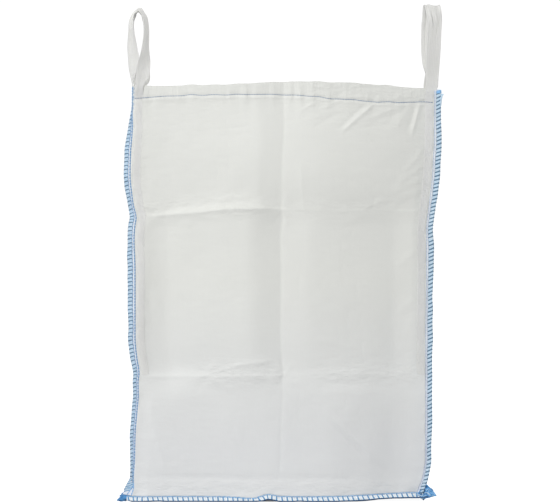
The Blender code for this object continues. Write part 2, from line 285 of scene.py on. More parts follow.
# Single creases of the front wall: (start, end, width, depth), a ridge where the depth is positive
FRONT_CREASES = (
    # short pulls under the hem at the right
    ((0.168, 1.087), (0.268, 1.176), 0.0048, 0.004),
    ((0.154, 1.092), (0.255, 1.186), 0.007, -0.0024),
    ((0.366, 1.075), (0.391, 1.172), 0.005, 0.0034),
    ((0.352, 1.08), (0.377, 1.165), 0.006, -0.0018),
    ((0.046, 1.146), (0.098, 1.177), 0.005, 0.0018),
    ((0.1, 1.15), (0.175, 1.182), 0.005, 0.0018),
    ((0.085, 1.098), (0.156, 1.14), 0.006, -0.0016),
    ((0.06, 1.12), (0.17, 1.146), 0.005, 0.0012),
    ((0.215, 1.095), (0.3, 1.108), 0.005, -0.0014),
    ((0.235, 1.122), (0.34, 1.162), 0.006, 0.0018),
    ((0.25, 1.112), (0.345, 1.146), 0.005, -0.0014),
    ((0.318, 1.09), (0.352, 1.15), 0.005, 0.0016),
    ((0.296, 1.1), (0.322, 1.148), 0.005, -0.0014),
    # arcs down the right edge
    ((0.33, 0.93), (0.412, 0.995), 0.006, 0.0022),
    ((0.322, 0.908), (0.405, 0.95), 0.006, 0.0018),
    ((0.335, 0.89), (0.402, 0.912), 0.006, 0.0018),
    ((0.345, 0.96), (0.408, 1.04), 0.007, 0.0018),
    ((0.236, 0.858), (0.3, 0.886), 0.005, 0.0014),
    ((0.16, 0.802), (0.24, 0.842), 0.006, 0.0014),
    ((0.34, 0.69), (0.405, 0.74), 0.007, 0.0016),
    ((0.35, 0.56), (0.405, 0.6), 0.007, 0.0014),
    # a sharp edge beside the middle crease
    ((0.066, 0.84), (0.052, 1.01), 0.011, 0.0016),
    # where the left edge is drawn in at the upper fold
    ((-0.432, 0.905), (-0.38, 0.85), 0.006, 0.0026),
    ((-0.432, 0.88), (-0.372, 0.836), 0.006, -0.0022),
    ((-0.435, 0.838), (-0.385, 0.842), 0.005, 0.002),
    ((-0.43, 0.8), (-0.37, 0.835), 0.007, 0.0016),
    ((-0.42, 1.12), (-0.25, 0.93), 0.018, 0.0026),
    # the upper fold's sharp line at the left
    ((-0.405, 0.835), (-0.25, 0.859), 0.0055, 0.0022),
    ((-0.31, 0.851), (-0.12, 0.864), 0.0055, 0.0024),
    ((-0.2, 0.862), (-0.04, 0.859), 0.0055, 0.0024),
    ((-0.29, 0.826), (-0.262, 0.808), 0.005, 0.0016),
    ((-0.24, 0.836), (-0.17, 0.828), 0.005, 0.0014),
    ((-0.23, 0.888), (-0.08, 0.896), 0.008, 0.0016),
    # the lower fold's broken line at the left
    ((-0.162, 0.3975), (-0.028, 0.412), 0.005, 0.0034),
    ((-0.248, 0.366), (-0.156, 0.395), 0.0045, 0.0024),
    ((-0.229, 0.371), (-0.148, 0.324), 0.005, 0.0024),
    ((-0.162, 0.396), (-0.15, 0.37), 0.0045, 0.0016),
    ((-0.41, 0.366), (-0.26, 0.372), 0.005, 0.0016),
    # and its wrinkles at the right
    ((0.11, 0.318), (0.3, 0.322), 0.005, 0.0016),
    ((0.12, 0.352), (0.25, 0.346), 0.005, -0.0014),
    ((0.13, 0.378), (0.28, 0.388), 0.005, 0.0014),
    ((0.16, 0.424), (0.3, 0.44), 0.006, 0.0012),
    ((0.11, 0.47), (0.3, 0.44), 0.006, 0.001),
    # the bottom's long diagonals and the line above its curl
    ((0.118, 0.256), (0.27, 0.118), 0.007, -0.0026),
    ((0.132, 0.262), (0.286, 0.122), 0.007, 0.003),
    ((0.262, 0.12), (0.33, 0.082), 0.006, -0.002),
    ((-0.41, 0.33), (-0.33, 0.06), 0.018, 0.0024),
    ((-0.4, 0.072), (0.3, 0.068), 0.006, -0.002),
    ((-0.4, 0.07), (0.3, 0.066), 0.006, -0.0016),
    ((0.123, 0.255), (0.299, 0.103), 0.007, 0.0013),
)
# Small crumples where its folds cross: (middle, reach, depth, seed)
FRONT_STARS = (
    ((-0.223, 0.376), 0.060, 0.0012, 5),
    ((0.000, 0.856), 0.060, 0.0008, 8),
    ((0.004, 0.372), 0.050, 0.0011, 11),
)
# Its two pressed folds: how far each juts out all along, and how much further in its left part
LOW_FOLD = (0.0014, 0.0020)
HIGH_FOLD = (0.0016, 0.0086)
HIGH_FOLD_SHOULDER = 0.0028     # a softer swelling above the upper fold's sharp left part
# The upper fold's height above its nominal one, against x
HIGH_FOLD_RISE = [(-0.44, -0.016), (-0.38, -0.013), (-0.06, 0.010), (0.02, 0.004), (0.43, 0.002)]


def panel_shape(turns, x):
    """Outward displacement whose slope follows a list of turns, zero at both corners."""
    at = np.linspace(-HALF, HALF, 801)
    slope = np.tan(np.radians(smooth(turns, at)))
    slope = slope - slope.mean()
    height = np.concatenate([[0], np.cumsum(0.5 * (slope[1:] + slope[:-1]) * np.diff(at))])
    return np.interp(x, at, height)


def fold_ridge(z, bend, height, above, below):
    """A pressed fold across the cloth: it juts out, steeply above and gently below."""
    return height * np.where(z > bend, np.exp(-(z - bend) / above), np.exp(-(bend - z) / below))


def front_relief(x, z):
    """The front wall's own folds, x across from the middle and z up: outward is positive."""
    low_fold = FOLD_HEIGHTS[0] + 0.003 * np.sin(x * 5.2)
    high_fold = FOLD_HEIGHTS[1] + smooth(HIGH_FOLD_RISE, x)
    lower, middle, upper = (panel_shape(turns, x) for turns in PANEL_TURNS)
    to_middle = step(low_fold - 0.07, low_fold + 0.05, z)
    to_upper = step(high_fold - 0.05, high_fold + 0.08, z)
    d = lower + (middle - lower) * to_middle + (upper - middle) * to_upper
    # the panels flatten towards the bottom seam and the hem
    d = d * (0.80 + 0.20 * step(0.0, 0.30, z)) * (1 - 0.35 * step(0.95, 1.22, z))
    # the crease up the middle
    d = d - 0.0016 * np.exp(-np.abs(x) / 0.010) * step(0.03, 0.12, z)
    left_part = step(0.06, -0.12, x)
    high_left = left_part * step(-0.41, -0.30, x)
    d = d + fold_ridge(z, high_fold, HIGH_FOLD[0] + HIGH_FOLD[1] * high_left, 0.009, 0.170)
    d = d + fold_ridge(z, high_fold, HIGH_FOLD_SHOULDER * high_left, 0.026, 0.170)
    d = d + fold_ridge(z, low_fold, LOW_FOLD[0] + LOW_FOLD[1] * left_part, 0.008, 0.090)
    d = d - 0.0012 * np.exp(-((z - low_fold) / 0.06) ** 2)
    # the foot kicks out over the bottom seam
    d = d + 0.012 * np.exp(-z / 0.036)
    for start, end, width, depth in FRONT_CREASES:
        d = d + crease(x, z, start, end, width, depth)
    for centre, reach, depth, seed in FRONT_STARS:
        d = d + star(x, z, centre, reach, depth, seed)
    return d


# How far the middle of each of the other walls stands out
BULGE = {"right": 0.009, "back": 0.022, "left": 0.009}


def plain_relief(x, z, seed, bulge):
    """The folds of a wall that the front's relief doesn't describe."""
    rng = np.random.default_rng(seed)
    middle = rng.uniform(-0.02, 0.02)
    peak = rng.uniform(-0.15, 0.15)
    tent = np.where(x < peak, (x + HALF) / (peak + HALF), (HALF - x) / (HALF - peak))
    at_foot = 0.35 + 0.65 * step(0.0, 0.22, z)
    at_hem = 1 - 1.3 * step(0.95, 1.20, z)
    d = bulge * np.maximum(tent, 0) ** 0.9 * at_foot * at_hem
    d = d - 0.0045 * np.exp(-np.abs(x - middle) / 0.030) * step(0.02, 0.12, z)
    for i, height in enumerate(FOLD_HEIGHTS):
        bend = height + 0.008 * np.sin(x * rng.uniform(3, 6) + rng.uniform(0, 3))
        d = d + fold_ridge(z, bend, rng.uniform(0.002, 0.004), 0.010, 0.050)
        d = d + star(x, z, (middle, height), 0.055, 0.0015, seed + i)
    d = d + 0.010 * np.exp(-z / 0.050)
    for _ in range(9):
        start = (rng.uniform(-0.38, 0.38), rng.uniform(0.08, 1.12))
        angle, length = rng.uniform(0, math.pi), rng.uniform(0.10, 0.24)
        end = (start[0] + length * math.cos(angle), start[1] + length * math.sin(angle))
        d = d + crease(x, z, start, end, rng.uniform(0.010, 0.022), rng.uniform(-0.003, 0.003))
    return d


def relief(side, share, z):
    """How far a wall stands outward of the line between its corners."""
    seed = 20 + SIDES.index(side)
    x = (share - 0.5) * SPAN
    d = front_relief(x, z) if side == "front" else plain_relief(x, z, seed, BULGE[side])
    d = d + 0.0030 * lattice_noise(x / 0.21 + 9, z / 0.26 + 9, seed)
    d = d + 0.0009 * lattice_noise(x / 0.070 + 9, z / 0.085 + 9, seed + 30)
    folds = np.abs(lattice_noise(x / 0.034 + 5 + z * 3, z / 0.022 + 5 - x * 4, seed + 40))
    where = step(-0.1, 0.6, lattice_noise(x / 0.17 + 3, z / 0.15 + 3, seed + 50))
    d = d + CRINKLE * (0.3 + where) * (np.sqrt(folds + 0.02) - 0.6)
    edge = np.minimum(share, 1 - share) * SPAN
    puckers = lattice_noise(z / 0.017, np.where(share < 0.5, 0.0, 7.3) + 0 * z, seed + 60)
    d = d * step(0.0, 0.045, edge) + 0.0016 * puckers * np.exp(-edge / 0.016) * step(0, 0.006, edge)
    below = hem_line(side, share) - z
    gathers = lattice_noise(x / 0.016 + 5, below / 0.20 + 5, seed + 90)
    gathers = gathers + 0.6 * np.sin(x / 0.0065 + 3 * lattice_noise(x / 0.09, 0.0, seed + 4))
    d = d + 0.0014 * gathers * np.exp(-np.abs(below) / 0.026) * step(0.0, 0.03, edge)
    d = d - 0.0016 * np.exp(-(below / 0.0030) ** 2)
    d = d + 0.0011 * np.exp(-((below - HEM_PRINT) / 0.0022) ** 2)
    return d


def crumpled(side, share, z):
    """How strongly a wall is finely wrinkled, from 0 to 1."""
    x = (share - 0.5) * SPAN
    edge = HALF - np.abs(x)
    spots = step(-0.3, 0.7, lattice_noise(x / 0.11, z / 0.09, 600 + SIDES.index(side)))
    low_fold = np.exp(-((z - FOLD_HEIGHTS[0] - 0.008) / 0.032) ** 2)
    high_fold = np.exp(-((z - FOLD_HEIGHTS[1] - 0.014) / 0.026) ** 2)
    under_hem = np.exp(-np.clip(1.185 - z, 0, 2) / 0.050)
    beside = np.exp(-edge / 0.045) * (0.35 + 0.65 * step(0.70, 0.90, z))
    if side == "front":
        low_fold = low_fold * (step(-0.30, -0.20, x) * step(0.02, -0.03, x) + 1.3 * step(0.08, 0.14, x))
        high_fold = high_fold * (0.30 + 0.70 * step(0.0, -0.06, x))
        under_hem = under_hem * (0.35 + 0.65 * step(-0.02, 0.20, x))
        spots = 0.6 + 0.4 * spots
    bottom = 0.7 * step(0.085, 0.050, z)
    return np.clip(np.maximum.reduce([low_fold, high_fold, under_hem, beside, bottom]) * spots, 0, 1)


def top_line(side, share):
    ruffle = 0.0016 * lattice_noise(share * 26, 0.0, 7 + SIDES.index(side))
    return TOP + smooth(TOP_EDGE[side], share) + ruffle


def hem_line(side, share):
    return top_line(side, share) - smooth(HEM_DROP[side], share)


def bottom_line(side, share):
    return smooth(BOTTOM_EDGE[side], share)


def wall(side, share, z, lift=0.0):
    """Points on a wall at shares of the way along it and heights, lifted outward off its surface."""
    share, z = np.broadcast_arrays(np.asarray(share, float), np.asarray(z, float))
    left, right = (corner(name, z) for name in ENDS[side])
    base = left + (right - left) * share[..., None]
    outward = np.array([*OUTWARD[side], 0.0])
    return base + outward * (relief(side, share, z) + lift)[..., None]


def wall_normal(side, share, z):
    e = 0.002
    du = wall(side, share + e, z) - wall(side, share - e, z)
    dz = wall(side, share, z + e) - wall(side, share, z - e)
    return unit(np.cross(du, dz))


def dense_shares(spacing, centres, reach, fine):
    """Places from 0 to 1, closer together near some centres."""
    at = np.linspace(0, 1, 4001)
    want = np.full(len(at), spacing)
    for centre in centres:
        away = np.clip(np.abs(at - centre) / reach, 0, 1)
        want = np.minimum(want, fine + (spacing - fine) * away ** 2)
    count = np.concatenate([[0], np.cumsum(0.5 * (1 / want[1:] + 1 / want[:-1]) * np.diff(at))])
    total = int(round(count[-1]))
    return np.interp(np.linspace(0, count[-1], total + 1), count, at)


# Shares of the way along and up a wall where its surface needs closer points
FINE_SHARES = {"front": (0.0, 0.33, 0.5, 0.583, 0.72, 0.78, 0.94, 1.0)}
FINE_SHARES_ELSEWHERE = (0.0, 0.5, 1.0)
FINE_RISES = (0.0, 0.305, 0.70, 0.90, 0.94, 0.965, 1.0)
RIM_DROP = 0.0008               # a wall ends this far below the top line, inside its hem's bend


def make_walls(cloth):
    up = dense_shares(0.0064, FINE_RISES, 0.035, 0.0024)
    walls = {}
    for side in SIDES:
        across = dense_shares(0.0075, FINE_SHARES.get(side, FINE_SHARES_ELSEWHERE), 0.05, 0.0034)
        share, rise = np.meshgrid(across, up)
        low, high = bottom_line(side, share), top_line(side, share)
        z = low + (high - RIM_DROP - low) * rise
        points = wall(side, share, z)
        uv = np.stack([(share - 0.5) * SPAN, z], -1)
        walls[side] = sheet_object(f"{side}_cloth", points, uv, cloth, CLOTH)
        mask = walls[side].data.attributes.new("crumpled", "FLOAT", "POINT")
        mask.data.foreach_set("value", crumpled(side, share, z).ravel())
        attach(walls[side], "bag")
        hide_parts(f"{side}_panel")
    return walls


def make_hems(cloth):
    """The folded top edge: over the wall's rim and down its inside."""
    hems = {}
    share = np.linspace(0, 1, 220)
    radius = 0.0017
    for side in SIDES:
        outward = np.array([*OUTWARD[side], 0.0])
        top = top_line(side, share)
        rim = wall(side, share, top - RIM_DROP)
        rows, lengths = [], []
        for angle in np.linspace(0, math.pi, 7):
            inset = radius * (1 - math.cos(angle)) - 0.0001
            rows.append(rim - outward * inset + np.array([0, 0, 1]) * radius * math.sin(angle))
            lengths.append(radius * angle)
        wave = 0.0012 * lattice_noise(share * 40, 0.0, 50 + SIDES.index(side))
        for fall in np.linspace(0.002, HEM, 12):
            inner = wall(side, share, top - RIM_DROP - fall)
            pinch = 0.0009 * np.exp(-((top - fall - hem_line(side, share)) / 0.004) ** 2)
            stand_off = 2 * radius + 0.0006 + wave * step(0.6, 1.0, fall / HEM) - pinch
            rows.append(inner - outward * stand_off[:, None])
            lengths.append(radius * math.pi + fall)
        points = np.stack(rows)
        across = (share[None] - 0.5) * SPAN
        uv = np.stack(np.broadcast_arrays(across, np.array(lengths)[:, None]), -1)
        # it stops just short of the corner seams
        points, uv = points[:, 3:-3], uv[:, 3:-3]
        hems[side] = sheet_object(f"{side}_hem_fold", points, uv, cloth, CLOTH)
        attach(hems[side], "bag")
        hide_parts(f"{side}_hem")
    return hems


def make_bottom(cloth):
    """The bottom panel: flat on the ground, curled up to the bottom seams, softly rumpled."""
    at = dense_shares(0.012, (0.0, 1.0), 0.12, 0.006)
    s, t = np.meshgrid(at, at)
    front, back = (wall(side, shares, bottom_line(side, shares))
                   for side, shares in (("front", s), ("back", 1 - s)))
    left, right = (wall(side, shares, bottom_line(side, shares))
                   for side, shares in (("left", 1 - t), ("right", t)))
    corners = [corner(c, bottom_line(side, share)) for c, side, share in (
        ("front_left", "front", 0.0), ("front_right", "front", 1.0),
        ("back_left", "back", 1.0), ("back_right", "back", 0.0))]
    s3, t3 = s[..., None], t[..., None]
    mixed = (front * (1 - t3) + back * t3 + left * (1 - s3) + right * s3
             - corners[0] * (1 - s3) * (1 - t3) - corners[1] * s3 * (1 - t3)
             - corners[2] * (1 - s3) * t3 - corners[3] * s3 * t3)
    # the right edge stays off the ground further in than the others
    inward = np.minimum(np.minimum(s, 0.2 * (1 - s)), np.minimum(t, 1 - t)) * SPAN
    rumple = 0.0030 * np.abs(lattice_noise(s * 5 + 3, t * 5 + 3, 71))
    rumple = rumple + 0.0012 * np.abs(lattice_noise(s * 17, t * 17, 72))
    cross = 0.0035 * (np.exp(-np.abs(s - 0.5) / 0.012) + np.exp(-np.abs(t - 0.5) / 0.012))
    floor = CLOTH + 0.0004 + (rumple + cross) * step(0.03, 0.12, inward)
    mixed[..., 2] = floor + (mixed[..., 2] - floor) * (1 - step(0.0, 0.045, inward)) ** 1.5
    uv = np.stack([s, t], -1) * SPAN
    piece = sheet_object("bottom_cloth", mixed, uv, cloth, CLOTH)
    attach(piece, "bag")
    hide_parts("bottom_panel")
    return piece


# ---------------------------------------------------------------- seams

# Each corner flange's swing from straight out of the front or back towards the side, against height
FLANGE_SWING = {
    "front_left": [(0.00, 145), (0.05, 148), (0.062, 162), (0.079, 160), (0.094, 152), (0.12, 145),
                   (0.27, 137), (0.36, 134), (0.40, 127), (0.50, 124), (0.62, 117), (0.72, 120),
                   (0.78, 127), (0.84, 129), (0.87, 136), (0.93, 132), (1.02, 130), (1.08, 140),
                   (1.13, 158), (1.155, 166), (1.175, 170), (1.22, 172)],
    "front_right": [(0.00, 36), (0.12, 37), (0.19, 38), (0.24, 44), (0.33, 41), (0.42, 45), (0.50, 51),
                    (0.62, 44), (0.74, 52), (0.82, 43), (0.96, 53), (1.02, 53), (1.10, 48), (1.22, 47)],
    "back_left": [(0.0, 45), (0.4, 52), (0.8, 40), (1.00, 42), (1.12, 14), (1.22, 0)],
    "back_right": [(0.0, 48), (0.4, 40), (0.8, 50), (1.22, 44)],
}


class Seam:
    """A flange: its root line, the way it stands out, its width and its two faces' direction."""

    def __init__(self, root, outward, width):
        self.root = root
        along = unit(np.gradient(root, axis=0))
        self.outward = unit(outward - along * np.sum(outward * along, -1, keepdims=True))
        self.along = along
        self.face = np.cross(self.along, self.outward)
        self.width = np.broadcast_to(width, len(root))
        self.length = distances(root)

    def at(self, length, reach, lift):
        """Points at distances along the seam, out from its root, and off its middle plane."""
        length, reach, lift = np.broadcast_arrays(length, reach, lift)
        parts = []
        for field in (self.root, self.outward, self.face):
            parts.append(np.stack([np.interp(length, self.length, field[:, i]) for i in range(3)], -1))
        root, outward, face = parts
        return root + unit(outward) * reach[..., None] + unit(face) * lift[..., None]

    def direction(self, length, field):
        return unit(np.stack([np.interp(length, self.length, field[:, i]) for i in range(3)], -1))

    def edge(self, length):
        return np.interp(length, self.length, self.width)


def corner_seam(name):
    z = np.linspace(EAR_TOP, TOP - 0.002, 420)
    side, share = ("front", 0.0) if name == "front_left" else ("front", 1.0)
    if name.startswith("back"):
        side, share = ("back", 1.0) if name == "back_left" else ("back", 0.0)
    z = z + (top_line(side, share) - TOP) * step(0.9, 1.22, z)
    root = corner(name, z)
    swing = np.radians(smooth(FLANGE_SWING[name], z))
    seed = 200 + CORNERS.index(name)
    swing = swing + 0.05 * lattice_noise(z / 0.04, 0.0, seed)
    sx, sy = SIGNS[name]
    outward = np.stack([sx * np.sin(swing), sy * np.cos(swing), 0 * z], -1)
    width = SEAM_WIDTH + 0.0008 * lattice_noise(z / 0.03, 0.0, seed + 9)
    if name.endswith("left"):
        width = width - 0.018 * step(1.11, 1.18, z)
    return Seam(root, outward, width)


def bottom_seam(side):
    first, last = (-0.020, 1.028) if side == "front" else (0.004, 0.996)
    share = np.linspace(first, last, 320)
    z = bottom_line(side, share)
    root = wall(side, share, z) + np.array([0, 0, -0.0006])
    seed = 300 + SIDES.index(side)
    droop = np.radians(46) + 0.10 * lattice_noise(share * 22, 0.0, seed)
    out = np.array([*OUTWARD[side], 0.0])
    outward = out * np.cos(droop)[:, None] + np.array([0, 0, -1.0]) * np.sin(droop)[:, None]
    reach = np.minimum(BOTTOM_SEAM_WIDTH, (z - 0.0030) / np.sin(droop))
    if side == "front":
        reach = reach * (1 - 0.6 * step(1.006, last, share)) * (1 - 0.25 * step(0.0, first, share))
    if side in ("left", "right"):
        reach = reach * (0.25 + 0.75 * step(0.0, 0.12, np.minimum(share, 1 - share)))
    return Seam(root, outward, reach)


def make_flange(name, seam, cloth, node):
    """Two layers of cloth standing out from a seam, closed round their edge."""
    rows = np.linspace(0, seam.length[-1], 360)
    half = SEAM_CLOTH / 2
    width = seam.edge(rows)
    profile = [(0.0, half), (0.3, half), (0.6, half), (0.97, half), (1.0, 0.4 * half),
               (1.0, -0.4 * half), (0.97, -half), (0.6, -half), (0.3, -half), (0.0, -half)]
    ripple = 0.0005 * lattice_noise(rows / 0.012, 0.0, 17)
    columns = [seam.at(rows, share * width, lift + ripple * share) for share, lift in profile]
    points = np.stack(columns, 1)
    faces = closed_faces(len(rows), len(profile))
    across = np.array([share for share, _ in profile]) * SEAM_WIDTH
    uv = np.stack(np.broadcast_arrays(across[None], rows[:, None]), -1)
    piece = object_from(name, points, faces, cloth, uv)
    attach(piece, "bag")
    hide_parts(node)
    return piece


class Overlock:
    """How a seam's edge is sewn over, in metres."""

    def __init__(self, pitch=0.0114, slant=0.0030, cover=0.0165, rung=0.0020, needle=0.0010,
                 chain=0.0023, chain_at=0.0028, edge=0.0):
        self.pitch = pitch          # from one rung to the next
        self.slant = slant          # how far a rung leans along the seam
        self.cover = cover          # how far the rungs reach in from the edge
        self.rung = rung            # half a dark rung's width
        self.needle = needle        # half width of the line along the rungs' inner ends
        self.chain = chain          # half width of the chain stitch beside the wall
        self.chain_at = chain_at    # the chain stitch's distance from the wall
        self.edge = edge            # half width of the cord along the very edge


RIGHT_SEWING = Overlock(slant=0.0065, cover=0.0185, rung=0.0026, needle=0.0007, chain=0.0009,
                        chain_at=0.0022)
BOTTOM_SEWING = Overlock(pitch=0.0147, slant=0.0035, cover=0.0165, rung=0.0024, chain=0.0012,
                         chain_at=0.0025, edge=0.0020)


def overlock_threads(name, seam, sewing, threads, seed):
    """Thread round a flange's edge: dark rungs, and the pale loops between them."""
    rng = np.random.default_rng(seed)
    total = seam.length[-1]
    count = max(2, int(round(total / sewing.pitch)))
    start = (np.arange(count) + 0.5) * total / count + rng.uniform(-0.0006, 0.0006, count)
    lift = SEAM_CLOTH / 2 + 0.0003
    # one wrap: in along the near face, round the edge and back along the far face
    turn = np.linspace(-1, 1, 13)
    inset = sewing.cover * (np.abs(turn) ** 1.2)
    height = lift * np.sign(turn) * np.clip(np.abs(turn) * 5, 0, 1)
    lean = sewing.slant * turn

    def wraps(offset, raised, short=1.0):
        length = np.clip(start[:, None] + offset + lean[None], 0, total)
        width = seam.edge(length) + 0.0010
        # the last turns keep a little apart even where the flange is too narrow for them
        least = 0.0012 - 0.0005 * np.abs(turn)[None]
        reach = np.maximum(width - inset[None] * short * rng.uniform(0.94, 1.04, (count, 1)), least)
        return seam.at(length, reach, height[None] * raised)

    def along(offset):
        return seam.direction(np.clip(start[:, None] + offset + lean[None], 0, total), seam.along)

    taper = sewing.rung * (1.0 - 0.35 * np.abs(turn))
    pieces = [tubes(name, wraps(0, 1.25), along(0), taper, 0.0008, threads["dark"])]
    gap = (sewing.pitch - 2 * sewing.rung) / 5
    for i, share in enumerate((-2, -1, 1, 2)):
        offset = sewing.pitch / 2 + share * gap * 0.95
        pieces.append(tubes(f"{name}_pale_{i}", wraps(offset, 1.0, 0.97), along(offset), 0.0012, 0.0006,
                            threads["pale"]))
    return pieces


def make_chain(name, points, face, thread, stitch=0.0085, thick=0.0009):
    """A row of chain stitch: short humped dashes of thread along a line on a surface."""
    length = distances(points)
    count = int(length[-1] / stitch)
    start = np.arange(count) * length[-1] / count
    t = np.linspace(0.06, 0.94, 6)
    at = start[:, None] + t[None] * length[-1] / count

    def read(field):
        return np.stack([np.interp(at, length, field[:, i]) for i in range(3)], -1)

    hump = 0.0006 * np.sin(math.pi * t)
    normal = unit(read(face))
    paths = read(points) + normal * hump[None, :, None]
    across = np.cross(normal, np.gradient(paths, axis=1))
    taper = thick * (0.45 + 0.55 * np.sin(math.pi * t))
    return tubes(name, paths, across, taper, taper, thread, sides=6)


# ---------------------------------------------------------------- materials

class Nodes:
    """A short way to write a node tree."""

    def __init__(self, name):
        self.material = bpy.data.materials.new(name)
        self.material.use_nodes = True
        self.tree = self.material.node_tree
        self.shader = self.tree.nodes["Principled BSDF"]

    def add(self, kind, inputs=None, **settings):
        node = self.tree.nodes.new(kind)
        for key, value in settings.items():
            setattr(node, key, value)
        for key, value in (inputs or {}).items():
            self.set(node.inputs[key], value)
        return node

    def set(self, socket, value):
        if isinstance(value, bpy.types.NodeSocket):
            self.tree.links.new(value, socket)
        else:
            socket.default_value = value

    def shade(self, **looks):
        """Values and links for the shader's own sockets, with spaces for underscores."""
        for key, value in looks.items():
            self.set(self.shader.inputs[key.replace("_", " ")], value)

    def math(self, operation, a, b=0.0, c=0.0):
        node = self.add("ShaderNodeMath", operation=operation)
        for socket, value in zip(node.inputs, (a, b, c)):
            self.set(socket, value)
        return node.outputs[0]

    def noise(self, vector, scale, detail=2.0, roughness=0.5):
        node = self.add("ShaderNodeTexNoise", {"Vector": vector, "Scale": scale, "Detail": detail,
                                               "Roughness": roughness})
        return node.outputs["Fac"]

    def mix(self, share, a, b):
        node = self.add("ShaderNodeMix", data_type="RGBA")
        self.set(node.inputs["Factor"], share)
        self.set(node.inputs[6], a)
        self.set(node.inputs[7], b)
        return node.outputs[2]

    def ranged(self, value, low, high, to_low, to_high):
        node = self.add("ShaderNodeMapRange", {"Value": value, "From Min": low, "From Max": high,
                                               "To Min": to_low, "To Max": to_high})
        return node.outputs[0]

    def bump(self, height, distance, strength, normal=None):
        node = self.add("ShaderNodeBump", {"Height": height, "Distance": distance, "Strength": strength})
        if normal is not None:
            self.set(node.inputs["Normal"], normal)
        return node.outputs[0]


def tape_weave(nodes, u, v, pitch):
    """Height of a plain weave of flat tapes, from texture coordinates in metres."""
    a, b = nodes.math("DIVIDE", u, pitch), nodes.math("DIVIDE", v, pitch)
    parity = nodes.math("MODULO", nodes.math("ADD", nodes.math("FLOOR", a), nodes.math("FLOOR", b)), 2.0)
    parity = nodes.math("ABSOLUTE", parity)
    crown_a = nodes.math("ABSOLUTE", nodes.math("SINE", nodes.math("MULTIPLY", a, math.pi)))
    crown_b = nodes.math("ABSOLUTE", nodes.math("SINE", nodes.math("MULTIPLY", b, math.pi)))
    over = nodes.math("MULTIPLY", crown_a, parity)
    under = nodes.math("MULTIPLY", crown_b, nodes.math("SUBTRACT", 1.0, parity))
    return nodes.math("ADD", over, under)


CLOTH_SHADE = (0.55, 0.56, 0.56, 1)     # the grey that mottles the cloth
CRUMPLE_SCALE = (26.0, 30.0, 62.0)      # how finely its crumples run across, in depth and up
CRUMPLE_LEAST = 0.6                     # their strength on smooth cloth, and what being crumpled adds
CRUMPLE_MORE = 6.0
HEM_PLEATS = 2.2                        # strength of the fine pleats across the hem


def cloth_material(name, tint, weave=0.0030):
    """Coated woven tapes, a little mottled and streaked, cooler near the ground, crumpled in places."""
    nodes = Nodes(name)
    place = nodes.add("ShaderNodeTexCoord")
    uv = nodes.add("ShaderNodeSeparateXYZ", {0: place.outputs["UV"]})
    spot = nodes.add("ShaderNodeSeparateXYZ", {0: place.outputs["Object"]})
    height = tape_weave(nodes, uv.outputs[0], uv.outputs[1], weave)
    mottle = nodes.noise(place.outputs["Object"], 5.0, 3.0)
    drawn = nodes.add("ShaderNodeMapping", {"Vector": place.outputs["UV"], "Scale": (300.0, 6.0, 1.0)})
    streaks = nodes.noise(drawn.outputs[0], 1.0)
    rise = nodes.ranged(spot.outputs[2], 0.15, 0.65, 0.0, 1.0)
    colour = nodes.mix(rise, (tint[0] * 0.985, tint[1] * 0.99, tint[2] * 1.045, 1), (*tint, 1))
    mottle = nodes.ranged(mottle, 0.3, 0.7, 0.0, 0.5)
    streaks = nodes.ranged(streaks, 0.3, 0.7, 0.0, 0.5)
    shade = nodes.math("MULTIPLY", nodes.math("ADD", mottle, streaks), 0.06)
    colour = nodes.mix(shade, colour, CLOTH_SHADE)
    rough = nodes.ranged(nodes.noise(place.outputs["Object"], 11.0, 4.0), 0.3, 0.7, 0.46, 0.60)
    nodes.shade(Base_Color=colour, Roughness=rough, Specular_IOR_Level=0.35)
    crumpled_share = nodes.add("ShaderNodeAttribute", attribute_name="crumpled").outputs["Fac"]
    strained = nodes.add("ShaderNodeMapping", {"Vector": place.outputs["Object"],
                                               "Scale": CRUMPLE_SCALE})
    strength = nodes.math("MULTIPLY_ADD", crumpled_share, CRUMPLE_MORE, CRUMPLE_LEAST)
    crumple = nodes.math("MULTIPLY", nodes.noise(strained.outputs[0], 1.0, 4.0, 0.55), strength)
    pleated = nodes.add("ShaderNodeMapping", {"Vector": place.outputs["UV"],
                                              "Scale": (115.0, 12.0, 1.0)})
    hem_share = nodes.ranged(spot.outputs[2], TOP - 0.052, TOP - 0.034, 0.0, HEM_PLEATS)
    pleats = nodes.math("MULTIPLY", nodes.noise(pleated.outputs[0], 1.0, 3.0), hem_share)
    soft = nodes.bump(nodes.math("ADD", crumple, pleats), 0.0009, 1.0)
    nodes.shade(Normal=nodes.bump(height, 0.00022, 0.55, soft))
    return nodes.material


FREE_REACH = 0.252                      # along a strap, from its crest to the top of its sewn legs
SEWN_WEBBING_PAINTED_LIGHT = (0.88, 0.883, 0.845, 1)  # the sewn legs are painted almost as pale as cloth and paler than the free loops: painted light that offsets the shade falling on them beside the corner seams
RIB_PITCH = 0.0060
PICK_PITCH = 0.0040


